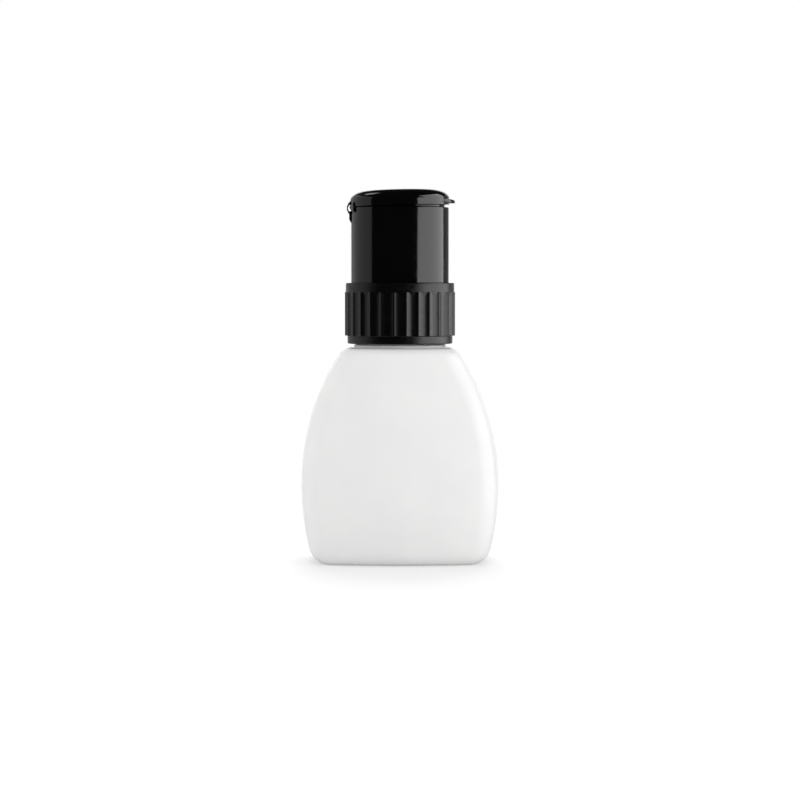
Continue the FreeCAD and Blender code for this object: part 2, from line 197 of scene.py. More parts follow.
def rounded_outline(points, radius, steps=5, limit=0.45):
    """Closed (r, z) outline with every corner turned into a small arc-like curve."""
    result = []
    count = len(points)
    for n in range(count):
        before, here, after = (np.array(points[(n + k) % count], float) for k in (-1, 0, 1))
        to_before, to_after = before - here, after - here
        cut_before = min(radius, limit * np.linalg.norm(to_before))
        cut_after = min(radius, limit * np.linalg.norm(to_after))
        a = here + to_before / np.linalg.norm(to_before) * cut_before
        b = here + to_after / np.linalg.norm(to_after) * cut_after
        for t in np.linspace(0, 1, steps + 1):
            result.append(tuple((1 - t) ** 2 * a + 2 * t * (1 - t) * here + t ** 2 * b))
    return result


def turned(name, outline, around=192):
    """Closed solid of revolution from a closed (r, z) outline."""
    angles = np.linspace(0, TAU, around, endpoint=False)
    rings = [[(r * math.cos(a), r * math.sin(a), z) for a in angles] for r, z in outline]
    return skin(name, rings)


def smooth_step(value, low, high):
    t = np.clip((np.asarray(value, float) - low) / (high - low), 0, 1)
    return t * t * (3 - 2 * t)


def thread_height(angle, z, start_z):
    """0 to 1: how far a helical ridge stands out at this angle and height; it fades in and out."""
    turn = (np.asarray(angle) % TAU) / TAU
    best = np.zeros(np.broadcast(turn, z).shape)
    for wrap in range(int(THREAD_TURNS) + 1):
        along = turn + wrap
        offset = np.abs(z - start_z - along * PITCH)
        ridge = 1 - smooth_step(offset, RIDGE_FLAT, RIDGE_FOOT)
        ends = smooth_step(along, 0.0, THREAD_FADE)
        ends = ends * (1 - smooth_step(along, THREAD_TURNS - THREAD_FADE, THREAD_TURNS))
        best = np.maximum(best, ridge * ends)
    return best


def join(target, *others):
    """Others become part of target's mesh."""
    shaped = bmesh.new()
    shaped.from_mesh(target.data)
    for other in others:
        shaped.from_mesh(other.data)
        mesh = other.data
        bpy.data.objects.remove(other)
        bpy.data.meshes.remove(mesh)
    shaped.to_mesh(target.data)
    shaped.free()
    return target


# ---------------------------------------------------------------- bottle

def side_steps(plain, seam=()):
    """Places from -1 to 1 along a bulged side, packed close to the mould seam where there is one."""
    half = np.linspace(0.05 if seam else 0, 1, plain)
    return np.array(sorted({*(-half), *half, *seam, *(-np.array(seam, float))}))


SEAM_PLACES = (0.0, 0.006, 0.012, 0.02)
SIDE_PLACES = side_steps(13, SEAM_PLACES)
FRONT_PLACES = side_steps(15)
CORNER_STEPS = 16


def outline(half_x, half_y, corner, side_bulge, front_bulge):
    """Points round a rectangle with bulged sides and tangent corner arcs, from the -Y end of +X."""
    side_centre = np.array([half_x - side_bulge, 0])
    front_centre = np.array([0, half_y - front_bulge])
    reach_side, reach_front = side_bulge - corner, front_bulge - corner
    apart = front_centre - side_centre
    span = np.linalg.norm(apart)
    along = apart / span
    step = (reach_side ** 2 - reach_front ** 2 + span ** 2) / (2 * span)
    across = np.array([-along[1], along[0]]) * math.sqrt(reach_side ** 2 - step ** 2)
    middle = side_centre + along * step
    centre = max(middle + across, middle - across, key=lambda p: p[0])
    side_half = math.atan2(*(centre - side_centre)[::-1])
    front_half = math.atan2(*(centre - front_centre))
    side_angles = SIDE_PLACES * side_half
    side = side_centre + side_bulge * np.stack([np.cos(side_angles), np.sin(side_angles)], 1)
    corner_angles = np.linspace(side_half, TAU / 4 - front_half, CORNER_STEPS + 1)[1:-1]
    turn = centre + corner * np.stack([np.cos(corner_angles), np.sin(corner_angles)], 1)
    front_angles = TAU / 4 - FRONT_PLACES[::-1] * front_half
    front = front_centre + front_bulge * np.stack([np.cos(front_angles), np.sin(front_angles)], 1)
    half = np.concatenate([side, turn, front, (turn * [-1, 1])[::-1]])
    return np.concatenate([half, -half])


def arc_half(z, half, arcs):
    radius = arcs[0] if z > BELLY_Z else arcs[1]
    return half - radius + math.sqrt(radius ** 2 - (z - BELLY_Z) ** 2)


def at_height(points, z):
    return np.concatenate([points, np.full((len(points), 1), z)], 1)


def body_ring(z, inset):
    """Ring of the bottle body at height z, inset inwards."""
    flat = outline(
        arc_half(z, HALF_WIDTH, WIDTH_ARCS) - inset, arc_half(z, HALF_DEPTH, DEPTH_ARCS) - inset,
        CORNER_R - min(inset, CORNER_R - LEAST_CORNER_R), SIDE_BULGE_R - inset, FRONT_BULGE_R - inset,
    )
    return at_height(flat, z)


def body_wall(bottom, top, inset, foot, shoulder):
    """Rings of the body wall from the foot fillet up to the shoulder fillet."""
    rings = []
    quarter = np.radians(np.linspace(0, 90, 9))
    for t in quarter:
        rings.append(body_ring(bottom + foot * (1 - math.cos(t)), inset + foot * (1 - math.sin(t))))
    for z in np.linspace(bottom + foot, top - shoulder, 44)[1:-1]:
        rings.append(body_ring(z, inset))
    for t in quarter:
        across = inset + shoulder * (1 - math.cos(t))
        rings.append(body_ring(top - shoulder * (1 - math.sin(t)), across))
    return rings


def between(first, last, steps):
    """Rings part way from one ring to another, without the two."""
    return [first + (last - first) * n / steps for n in range(1, steps)]


def round_rings(reference, outline_rz):
    """Circular rings whose points lie in the same directions as those of a reference ring."""
    angles = np.arctan2(reference[:, 1], reference[:, 0])
    circle = np.stack([np.cos(angles), np.sin(angles)], 1)
    return [at_height(circle * r, z) for r, z in outline_rz]


def floor_panel(half_x, half_y, z, scale=1.0):
    """Ring with nearly straight sides, for the level parts of the base."""
    corner, bulge = 6, 400
    return at_height(outline(half_x, half_y, corner, bulge, bulge) * scale, z)


def bottle_body():
    """White blow-moulded bottle: push-up base, mould seam, square shoulder and threaded neck."""
    base = [floor_panel(RECESS_X, RECESS_Y, PUSH_UP + RECESS_CROWN * (1 - share ** 2), share)
            for share in (0.03, 0.2, 0.4, 0.6, 0.8, 0.92)]
    base += [floor_panel(RECESS_X - inset, RECESS_Y - inset, z) for inset, z in (
        (0.3, PUSH_UP - 0.03), (0.1, PUSH_UP - 0.12), (0.0, PUSH_UP - 0.3), (-0.25, 0.3), (-0.35, 0.12),
        (-0.55, 0.03), (-0.8, 0.0))]
    outer = body_wall(0, BODY_TOP, 0, FOOT_FILLET, SHOULDER_FILLET)
    inner = body_wall(FLOOR, BODY_TOP - WALL, WALL, FOOT_FILLET - WALL, SHOULDER_FILLET - WALL)[::-1]
    root = arc((BEAD_R + BEAD_ROOT, BODY_TOP + BEAD_ROOT), BEAD_ROOT, 270, 180, 5)
    root += arc((BEAD_R - BEAD_EDGE, BEAD_TOP - BEAD_EDGE), BEAD_EDGE, 0, 90, 4)
    root += [(NECK_R + NECK_ROOT, BEAD_TOP + NECK_ROOT)]
    neck = root + run((NECK_R, BEAD_TOP + 0.3), (NECK_R, NECK_TOP - LIP_EDGE), 46)
    lip = arc((NECK_R - LIP_EDGE, NECK_TOP - LIP_EDGE), LIP_EDGE, 0, 90, 4)
    lip += arc((NECK_BORE_R + LIP_BORE_EDGE, NECK_TOP - LIP_BORE_EDGE), LIP_BORE_EDGE, 90, 180, 3)
    throat_z = BODY_TOP - WALL + THROAT_EDGE
    bore = run((NECK_BORE_R, NECK_TOP - LIP_BORE_EDGE), (NECK_BORE_R, throat_z), 8)
    mouth = arc((NECK_BORE_R + THROAT_EDGE, throat_z), THROAT_EDGE, 180, 270, 4)
    reference = outer[-1]
    throat = round_rings(reference, neck + lip + bore + mouth)
    angles = np.arctan2(reference[:, 1], reference[:, 0])
    for ring in throat[len(root):len(neck)]:
        stand = thread_height(angles, ring[:, 2], THREAD_Z) * (NECK_THREAD_R / NECK_R - 1)
        ring[:, :2] *= (1 + stand)[:, None]
    floor = [floor_panel(PAD_X + PAD_STEP, PAD_Y + PAD_STEP, FLOOR)]
    floor += [floor_panel(PAD_X, PAD_Y, FLOOR + PUSH_UP, share) for share in (1.0, 0.7, 0.35, 0.03)]
    rings = (
        base + between(base[-1], outer[0], 4) + outer + between(outer[-1], throat[0], 6) + throat
        + between(throat[-1], inner[0], 4) + inner + between(inner[-1], floor[0], 4) + floor
    )
    press_seam(rings, len(base), len(base) + 3 + len(outer))
    poles = [(0, 0, PUSH_UP + RECESS_CROWN), (0, 0, FLOOR + PUSH_UP)]
    return skin("bottle_body_moulded", rings, poles=poles)


def press_seam(rings, base_count, outer_count):
    """Raises the mould seam up both sides and the pinch-off line along the underside recess."""
    heights = dict(zip(SEAM_PLACES, (1.0, 0.8, 0.35, 0.0)))
    places = [heights.get(round(abs(float(p)), 4), 0.0) for p in SIDE_PLACES]
    half = len(rings[0]) // 2
    for number, ring in enumerate(rings[:outer_count]):
        for n, height in enumerate(places):
            if height and number < base_count - 5:
                ring[[n, n + half], 2] -= 2 * SEAM_HEIGHT * height
            elif height and number > base_count + 3:
                ring[n, 0] += SEAM_HEIGHT * height
                ring[n + half, 0] -= SEAM_HEIGHT * height


# ---------------------------------------------------------------- collar

def softer_max(a, b, softness):
    """The larger of two heights, with the crease between them rounded."""
    h = np.clip(0.5 + 0.5 * (b - a) / softness, 0, 1)
    return a * (1 - h) + b * h + softness * h * (1 - h)


def screw_collar():
    """Black collar with concave finger flutes that run out into a plain band, a thread and a deck."""
    per_flute = 18
    around = per_flute * FLUTE_COUNT
    step = TAU / FLUTE_COUNT
    places = np.linspace(-1, 1, per_flute + 1)[:-1]
    places = np.sign(places) * np.abs(places) ** 0.8
    angles = (FLUTE_PHASE + step * (np.arange(FLUTE_COUNT)[:, None] + places / 2)).ravel()
    off_centre = step / 2 * np.tile(places, FLUTE_COUNT)
    centre_r = FLUTE_DEEP_R + FLUTE_R
    chord = np.sqrt(FLUTE_R ** 2 - (centre_r * np.sin(off_centre)) ** 2)
    scallop = centre_r * np.cos(off_centre) - chord
    scallop = -softer_max(-scallop, np.full(around, -CREST_R), CREST_SOFTNESS)
    side = arc((SKIRT_R - COLLAR_EDGE, COLLAR_BOTTOM + COLLAR_EDGE), COLLAR_EDGE, 270, 360, 4)
    side += run((SKIRT_R, COLLAR_BOTTOM + COLLAR_EDGE), (SKIRT_R, GRIP_BOTTOM - 0.2), 4)
    side += [(SKIRT_R, GRIP_BOTTOM + d) for d in (-0.2, -0.1, -0.02, 0.02, 0.06, 0.12, 0.2, 0.3, 0.45)]
    side += run((SKIRT_R, GRIP_BOTTOM + 0.45), (SKIRT_R, GRIP_TOP - RAMP - 0.1), 12)
    side += [(FLUTE_DEEP_R - 0.1, GRIP_TOP - RAMP - 0.1), (FLUTE_DEEP_R - 0.02, GRIP_TOP - RAMP + 0.05)]
    side += run((FLUTE_DEEP_R - 0.02, GRIP_TOP - RAMP + 0.05), (BAND_R, GRIP_TOP), 12)
    side += [(BAND_R, GRIP_TOP + d) for d in (-0.06, 0.0, 0.08, 0.16, 0.25, 0.5)]
    side += run((BAND_R, GRIP_TOP + 0.5), (BAND_R, COLLAR_TOP - COLLAR_EDGE), 4)
    side += arc((BAND_R - COLLAR_EDGE, COLLAR_TOP - COLLAR_EDGE), COLLAR_EDGE, 0, 90, 6)
    rim = arc((WELL_R + WELL_EDGE, COLLAR_TOP - WELL_EDGE), WELL_EDGE, 90, 180, 4)
    well = run((WELL_R, COLLAR_TOP - WELL_EDGE), (WELL_R, DECK_TOP + COLLAR_EDGE), 5)
    well += arc((WELL_R - COLLAR_EDGE, DECK_TOP + COLLAR_EDGE), COLLAR_EDGE, 360, 270, 3)
    well += arc((DECK_HOLE_R + HOLE_EDGE, DECK_TOP - HOLE_EDGE), HOLE_EDGE, 90, 180, 3)
    deck = arc((DECK_HOLE_R + HOLE_EDGE, DECK_BOTTOM + HOLE_EDGE), HOLE_EDGE, 180, 270, 3)
    deck += arc((COLLAR_BORE_R - DECK_ROOT, DECK_BOTTOM - DECK_ROOT), DECK_ROOT, 90, 0, 3)
    mouth_z = COLLAR_BOTTOM + COLLAR_EDGE
    bore = run((COLLAR_BORE_R, DECK_BOTTOM - DECK_ROOT), (COLLAR_BORE_R, mouth_z), 50)
    mouth = arc((COLLAR_BORE_R + COLLAR_EDGE, mouth_z), COLLAR_EDGE, 180, 270, 3)
    circle = np.stack([np.cos(angles), np.sin(angles)], 1)
    rings = []
    for r, z in side:
        ends = smooth_step(z, GRIP_BOTTOM - 0.05, GRIP_BOTTOM + 0.25)
        ends *= 1 - smooth_step(z, GRIP_TOP - 0.35, GRIP_TOP + 0.1)
        grip = SKIRT_R - 0.2 + (scallop - SKIRT_R + 0.2) * ends
        plain = np.full(around, float(r))
        radius = softer_max(plain, grip, FLUTE_END_SOFTNESS) if ends else plain
        rings.append(at_height(circle * radius[:, None], z))
    rings += [at_height(circle * r, z) for r, z in rim + well + deck]
    for r, z in bore:
        radius = r - thread_height(angles, z, THREAD_Z + PITCH / 2) * (COLLAR_BORE_R - COLLAR_THREAD_R)
        rings.append(at_height(circle * radius[:, None], z))
    rings += [at_height(circle * r, z) for r, z in mouth]
    return skin("screw_collar_fluted", rings)


# ---------------------------------------------------------------- head and dish

def prism(name, outline_xz, half_width, bevel):
    """Bar with an (x, z) outline that runs along Y, its edges bevelled."""
    count = len(outline_xz)
    vertices = [(x, y, z) for y in (-half_width, half_width) for x, z in outline_xz]
    faces = [[n, (n + 1) % count, count + (n + 1) % count, count + n] for n in range(count)]
    faces += [list(range(count)), list(range(2 * count - 1, count - 1, -1))]
    obj = new_mesh(name, vertices, faces)
    shaped = bmesh.new()
    shaped.from_mesh(obj.data)
    bmesh.ops.bevel(
        shaped, geom=shaped.edges[:], offset=bevel * MM, segments=3, affect="EDGES", profile=0.5)
    shaped.to_mesh(obj.data)
    shaped.free()
    obj.data.polygons.foreach_set("use_smooth", [True] * len(obj.data.polygons))
    return obj


def head_shell():
    """Polished press head: plain cylinder, spigot inside the lid and a land for the hinge."""
    ledge_under = LEDGE_Z - LEDGE_THICK
    outline_rz = [
        (SHELL_BORE_R, SKIRT_Z), (SHELL_R, SKIRT_Z), (SHELL_R, SHOULDER_Z), (SPIGOT_R, SHOULDER_Z + 0.05),
        (SPIGOT_R, SPIGOT_TOP), (SPIGOT_BORE_R, SPIGOT_TOP), (SPIGOT_BORE_R, LEDGE_Z), (LEDGE_R, LEDGE_Z),
        (LEDGE_R, ledge_under), (SPIGOT_BORE_R, ledge_under), (SHELL_BORE_R, LEDGE_Z - LEDGE_TAPER),
    ]
    wall = turned("head_shell_polished", rounded_outline(outline_rz, HEAD_EDGE), 240)
    land = [(-LAND_ROOT_X, LAND_BOTTOM - 0.4), (-LAND_ROOT_X - 0.35, LAND_BOTTOM),
            (-LAND_X, LAND_BOTTOM + 1.3), (-LAND_X, LAND_TOP - 0.3), (-LAND_ROOT_X, LAND_TOP)]
    return join(wall, prism("land", land, FILM_HALF_WIDTH, LAND_EDGE))


# ---------------------------------------------------------------- lid and hinge

def dome(radius, curve_z, wide, high, rise, crown_steps, curve_steps):
    """Outline (r, z) from near the crown out over the elliptical shoulder to the upright wall."""
    inner = radius - wide
    sphere = (inner ** 2 + rise ** 2) / (2 * rise)
    crown_z = curve_z + high + rise
    across = np.linspace(0.4, inner, crown_steps)
    points = [(r, crown_z - sphere + math.sqrt(sphere ** 2 - r ** 2)) for r in across]
    for t in np.radians(np.linspace(90, 0, curve_steps + 1))[1:]:
        points.append((inner + wide * math.cos(t), curve_z + high * math.sin(t)))
    return points, crown_z


def tab_reach(angles):
    """How far the round thumb tab stands out beyond the lid wall in each direction."""
    inside = TAB_R ** 2 - (TAB_X * np.sin(angles)) ** 2
    return np.clip(TAB_X * np.cos(angles) + np.sqrt(inside) - LID_R, 0, None) * (np.cos(angles) > 0)


def tilted(rings):
    """The lid rests a little open, lifted at the tab side about its hinge."""
    c, s = math.cos(LID_REST_TILT), math.sin(LID_REST_TILT)
    result = []
    for ring in rings:
        x, z = ring[..., 0] - HINGE_X, ring[..., 2] - HINGE_Z
        result.append(np.stack([HINGE_X + x * c - z * s, ring[..., 1], HINGE_Z + x * s + z * c], -1))
    return result


def flip_lid():
    """Domed lid in one skin with its thumb tab, and a wiper ring inside."""
    angles = np.linspace(0, TAU, 288, endpoint=False)
    reach = tab_reach(angles)
    out = smooth_step(reach, 0.0, 0.7)

    def ring(r, z):
        return np.stack([r * np.cos(angles), r * np.sin(angles), np.broadcast_to(z, angles.shape)], 1)

    crown, crown_z = dome(LID_R, LID_CURVE_Z, LID_CURVE_WIDE, LID_CURVE_HIGH, LID_RISE, 12, 18)
    half = TAB_THICK / 2
    root = [(0.0, half + 0.14), (0.04, half + 0.05), (0.12, half + 0.01), (0.3, half), (0.6, half - 0.02)]
    nose = [(math.cos(t) * 0.5, math.sin(t)) for t in np.radians(np.linspace(70, -70, 9))]
    tab = [(reach * share, rise) for share, rise in root]
    tab += [(np.clip(reach + bulge - 0.5, 0, None), half * height * 0.97) for bulge, height in nose]
    tab += [(reach * share, -rise) for share, rise in root[::-1]]
    outer = [ring(r, z) for r, z in crown]
    for (stand, rise), wall_z in zip(tab, np.linspace(LID_CURVE_Z - 0.15, TAB_Z - half - 0.2, len(tab))):
        height = TAB_Z + rise - TAB_DROOP * stand
        outer.append(ring(LID_R + stand, wall_z * (1 - out) + height * out))
    rim_z = LID_RIM_Z + LID_EDGE
    lip = run((LID_R, TAB_Z - half - 0.2), (LID_R, rim_z), 3)
    lip += arc((LID_R - LID_EDGE, rim_z), LID_EDGE, 0, -90, 3)
    lip += arc((LID_BORE_R + LID_EDGE, rim_z), LID_EDGE, 270, 180, 3)
    wide, high = LID_CURVE_WIDE - LID_THICK, LID_CURVE_HIGH - LID_THICK
    inside, ceiling_z = dome(LID_BORE_R, LID_CURVE_Z - 0.3, wide, high, LID_RISE, 8, 10)
    rings = outer + [ring(r, z) for r, z in lip + inside[::-1]]
    poles = tilted([np.array([0, 0, crown_z]), np.array([0, 0, ceiling_z])])
    lid = skin("flip_lid_domed", tilted(rings), poles=poles)
    wiper_outline = [(WIPER_BORE_R, WIPER_BOTTOM), (WIPER_R, WIPER_BOTTOM),
                     (WIPER_R, WIPER_TOP), (WIPER_BORE_R, WIPER_TOP)]
    wiper = tilted([ring(r, z) for r, z in rounded_outline(wiper_outline, WIPER_EDGE)])
    pad = prism("pad", PAD_OUTLINE, FILM_HALF_WIDTH, PAD_EDGE)
    return join(lid, skin("wiper", wiper), pad)


def strip_ring(centre, across, normal, half_width, half_thick, sides=7):
    """Flat oval cross-section of a moulded strip."""
    points = []
    for edge in (1, -1):
        for t in np.radians(np.linspace(-90, 90, sides)):
            along = edge * (half_width - half_thick + half_thick * math.cos(t))
            points.append(centre + across * along + normal * (edge * half_thick * math.sin(t)))
    return points


def hinge_film():
    """Bowed centre strip of the living hinge, thinnest on the fold line."""
    (low_x, low_z), (high_x, high_z) = FILM_LOW, FILM_HIGH
    rings = []
    for t in np.linspace(0, 1, 33):
        x = low_x + (high_x - low_x) * t - FILM_BOW * math.sin(math.pi * t) ** 2
        z = low_z + (high_z - low_z) * t
        slope = -FILM_BOW * math.pi * math.sin(TAU * t) / (high_z - low_z)
        normal = np.array([1, 0, -slope]) / math.hypot(1, slope)
        ends = math.sqrt(max(1 - abs(2 * t - 1) ** 6, 0.02))
        thinning = FILM_THINNING * math.exp(-((z - HINGE_Z) / FILM_THIN_REACH) ** 2)
        half_thick = (FILM_HALF_THICK - thinning) * ends
        middle, across = np.array([x, 0, z]), np.array([0, 1, 0])
        rings.append(strip_ring(middle, across, normal, FILM_HALF_WIDTH, half_thick))
    poles = [(low_x, 0, low_z), (high_x, 0, high_z)]
    return skin("hinge_film_bowed", rings, poles=poles)


def hinge_web(side):
    """Triangular snap panel, narrow at the hinge and wide at its far edge, thin on the fold line."""
    rings = []
    for y in np.linspace(WEB_NEAR, WEB_FAR, 15):
        share = (y - WEB_NEAR) / (WEB_FAR - WEB_NEAR)
        low = HINGE_Z - WEB_BELOW - WEB_SPREAD * share
        high = HINGE_Z + WEB_ABOVE + WEB_SPREAD * share
        inset = 0.6 * (1 - math.sqrt(max(1 - abs(2 * share - 1) ** 10, 0)))
        angle = math.asin(y / WEB_R)
        heights = np.linspace(low + inset, high - inset, 17)
        thinning = WEB_THINNING * np.exp(-((heights - HINGE_Z) / WEB_THIN_REACH) ** 2)
        thick = WEB_HALF_THICK * np.sqrt(np.clip(1 - np.linspace(-1, 1, 17) ** 8, 0.03, 1)) - thinning
        outside = [(WEB_R + t, z) for t, z in zip(thick, heights)]
        back = [(WEB_R - t, z) for t, z in zip(thick, heights)][::-1]
        rings.append([(-r * math.cos(angle), side * r * math.sin(angle), z) for r, z in outside + back])
    poles = [tuple(np.mean(ring, 0)) for ring in (rings[0], rings[-1])]
    return skin(f"hinge_web_{'front' if side < 0 else 'back'}", rings, poles=poles)


# ---------------------------------------------------------------- spring

def return_spring():
    """Compression spring with a closed coil at each end."""
    wire_d = 2 * WIRE_R
    length = SPRING_TOP - SPRING_FOOT - wire_d
    turns = ACTIVE_COILS + 2 * CLOSED_COILS
    circle = np.radians(np.linspace(0, 360, 12, endpoint=False))
    up = np.array([0, 0, 1])
    rings = []
    for t in np.linspace(0, turns, int(turns * 40)):
        end_turns = min(t, CLOSED_COILS) + max(t - turns + CLOSED_COILS, 0)
        active = np.clip(t - CLOSED_COILS, 0, ACTIVE_COILS) / ACTIVE_COILS
        z = SPRING_FOOT + WIRE_R + end_turns * wire_d + active * (length - 2 * CLOSED_COILS * wire_d)
        out = np.array([math.cos(TAU * t), math.sin(TAU * t), 0])
        centre = out * COIL_R + up * z
        rings.append([centre + WIRE_R * (out * math.cos(a) + up * math.sin(a)) for a in circle])
    poles = [tuple(np.mean(ring, 0)) for ring in (rings[0], rings[-1])]
    return skin("return_spring_wound", rings, poles=poles)


# ---------------------------------------------------------------- materials

class Finish:
    """A procedural Principled material; coordinates are the object's own, in mm."""

    def __init__(self, name, colour, roughness, **inputs):
        self.material = bpy.data.materials.new(name)
        self.material.use_nodes = True
        self.nodes, self.links = self.material.node_tree.nodes, self.material.node_tree.links
        self.shader = self.nodes["Principled BSDF"]
        self.shader.inputs["Base Color"].default_value = (*colour, 1)
        self.shader.inputs["Roughness"].default_value = roughness
        for key, value in inputs.items():
            self.shader.inputs[key.replace("_", " ")].default_value = value
        self.place = self.nodes.new("ShaderNodeTexCoord").outputs["Object"]
        self.bump = None

    def mapped(self, scale):
        mapping = self.nodes.new("ShaderNodeMapping")
        mapping.inputs["Scale"].default_value = [s / MM for s in scale]
        self.links.new(self.place, mapping.inputs["Vector"])
        return mapping.outputs["Vector"]

    def noise(self, per_mm, detail=3.0, stretch=(1, 1, 1), rough=0.5):
        """Noise with about per_mm cells to the millimetre."""
        node = self.nodes.new("ShaderNodeTexNoise")
        node.inputs["Scale"].default_value = 1.0
        node.inputs["Detail"].default_value = detail
        node.inputs["Roughness"].default_value = rough
        self.links.new(self.mapped([per_mm * s for s in stretch]), node.inputs["Vector"])
        return node.outputs["Fac"]

    def cells(self, per_mm):
        node = self.nodes.new("ShaderNodeTexVoronoi")
        node.inputs["Scale"].default_value = 1.0
        self.links.new(self.mapped([per_mm] * 3), node.inputs["Vector"])
        return node.outputs["Distance"]

    def spread(self, value, low, high, start=0.3, end=0.7):
        """Maps a texture value to a range of numbers."""
        node = self.nodes.new("ShaderNodeMapRange")
        for key, number in (("From Min", start), ("From Max", end), ("To Min", low), ("To Max", high)):
            node.inputs[key].default_value = number
        self.links.new(value, node.inputs["Value"])
        return node.outputs["Result"]

    def product(self, first, second):
        node = self.nodes.new("ShaderNodeMath")
        node.operation = "MULTIPLY"
        self.links.new(first, node.inputs[0])
        self.links.new(second, node.inputs[1])
        return node.outputs["Value"]

    def tint(self, value, low, high):
        """Base colour that drifts between two colours with a texture value."""
        node = self.nodes.new("ShaderNodeMix")
        node.data_type = "RGBA"
        node.inputs["A"].default_value = (*low, 1)
        node.inputs["B"].default_value = (*high, 1)
        self.links.new(value, node.inputs["Factor"])
        self.links.new(node.outputs["Result"], self.shader.inputs["Base Color"])
        return self

    def roughen(self, value, low, high):
        self.links.new(self.spread(value, low, high), self.shader.inputs["Roughness"])
        return self

    def relief(self, value, height_mm, strength=1.0):
        """Adds a bump; later calls lie on top of earlier ones."""
        node = self.nodes.new("ShaderNodeBump")
        node.inputs["Strength"].default_value = strength
        node.inputs["Distance"].default_value = height_mm * MM
        self.links.new(value, node.inputs["Height"])
        if self.bump:
            self.links.new(self.bump, node.inputs["Normal"])
        self.bump = node.outputs["Normal"]
        self.links.new(self.bump, self.shader.inputs["Normal"])
        return self


def bottle_finish():
    """Satin high-density polyethylene: milky, with faint draw lines and a soft ripple."""
    white = Finish(
        "white_hdpe", (0.79, 0.79, 0.785), 0.4, Subsurface_Weight=0.12, Subsurface_Scale=0.002,
        Subsurface_Radius=(1.0, 0.95, 0.9), IOR=1.54, Specular_IOR_Level=0.25,
    )
    drift = white.spread(white.noise(0.06, 2.0), 0, 1)
    white.tint(drift, (0.77, 0.771, 0.77), (0.8, 0.799, 0.793))
    white.roughen(white.noise(0.35, 4.0), 0.34, 0.46)
    white.relief(white.noise(0.09, 1.0), 0.05, 0.35)
    white.relief(white.noise(1.6, 2.0, (1, 1, 0.04)), 0.004, 0.5)
    return white.relief(white.noise(7.0, 2.0), 0.003, 0.6).material


def collar_finish():
    """Black polypropylene with a fine spark-eroded grain and handling marks."""
    black = Finish("black_satin_pp", (0.0012, 0.0012, 0.0013), 0.34, IOR=1.49)
    drift = black.spread(black.noise(0.25, 4.0), 0, 1)
    black.tint(drift, (0.0009, 0.0009, 0.001), (0.0018, 0.0018, 0.0019))
    black.roughen(black.noise(0.9, 5.0), 0.27, 0.42)
    black.relief(black.noise(9.0, 3.0), 0.008, 0.8)
    return black.relief(black.noise(0.3, 1.0), 0.02, 0.2).material


def head_finish():
    """Polished black polypropylene: slight moulding ripple, hairlines and finger bloom."""
    gloss = Finish("black_gloss_pp", (0.0009, 0.0009, 0.001), 0.1, IOR=1.5)
    drift = gloss.spread(gloss.noise(0.12, 3.0), 0, 1)
    gloss.tint(drift, (0.0007, 0.0007, 0.0008), (0.0012, 0.0012, 0.0013))
    bloom = gloss.product(gloss.noise(0.18, 5.0), gloss.noise(2.5, 2.0))
    gloss.links.new(gloss.spread(bloom, 0.075, 0.16, 0.15, 0.4), gloss.shader.inputs["Roughness"])
    gloss.relief(gloss.noise(0.22, 1.0), 0.02, 0.25)
    return gloss.relief(gloss.noise(3.0, 2.0), 0.0012, 0.5).material


def natural_finish(name, colour, roughness, grain):
    """Uncoloured polyolefin of the pump's inner pieces: cloudy, waxy, lightly tooled."""
    milky = Finish(name, colour, roughness, Subsurface_Weight=0.4, Subsurface_Scale=0.002, IOR=1.5)
    paler = [min(c * 1.06, 1) for c in colour]
    milky.tint(milky.spread(milky.noise(0.4, 3.0), 0, 1), [c * 0.95 for c in colour], paler)
    milky.roughen(milky.noise(1.1, 3.0), roughness * 0.85, roughness * 1.2)
    return milky.relief(milky.noise(grain, 3.0), 0.006, 0.5).material


def foam_finish():
    """Closed-cell polyethylene foam of the neck gasket."""
    foam = Finish("gasket_foam", (0.8, 0.8, 0.77), 0.75, Subsurface_Weight=0.3, Subsurface_Scale=0.001)
    cells = foam.cells(3.2)
    foam.tint(foam.spread(cells, 0, 1, 0.1, 0.6), (0.7, 0.7, 0.67), (0.84, 0.84, 0.82))
    return foam.relief(cells, 0.06, 0.9).material


def steel_finish(name, roughness, stretch):
    """Bright stainless steel with drawing or lapping lines."""
    steel = Finish(name, (0.62, 0.62, 0.63), roughness, Metallic=1.0)
    lines = steel.noise(6.0, 3.0, stretch)
    steel.tint(steel.spread(lines, 0, 1), (0.55, 0.55, 0.56), (0.68, 0.68, 0.69))
    steel.roughen(lines, roughness * 0.7, roughness * 1.5)
    return steel.relief(lines, 0.003, 0.4).material


def paint(obj, material):
    obj.data.materials.clear()
    obj.data.materials.append(material)
    return obj


def paint_node(name, material):
    for material_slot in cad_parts[name].material_slots:
        material_slot.material = material


# ---------------------------------------------------------------- stage, in metres

# Strengths of the light all round, of the room as glossy pieces reflect it, of the background to the
# eye, of the floor's own glow and of the sun
AMBIENT, ROOM, PALE, FLOOR_GLOW, SUN_STRENGTH = 0.9, 0.015, 1.0, 0.47, 1.1
SUN_WIDTH, SUN_TILT = math.radians(35), math.radians(-38)
FLOOR_SIZE, FLOOR_COLOUR = 8, (0.62, 0.62, 0.62)
MIDDLE_Z = 0.1  # where the softboxes point

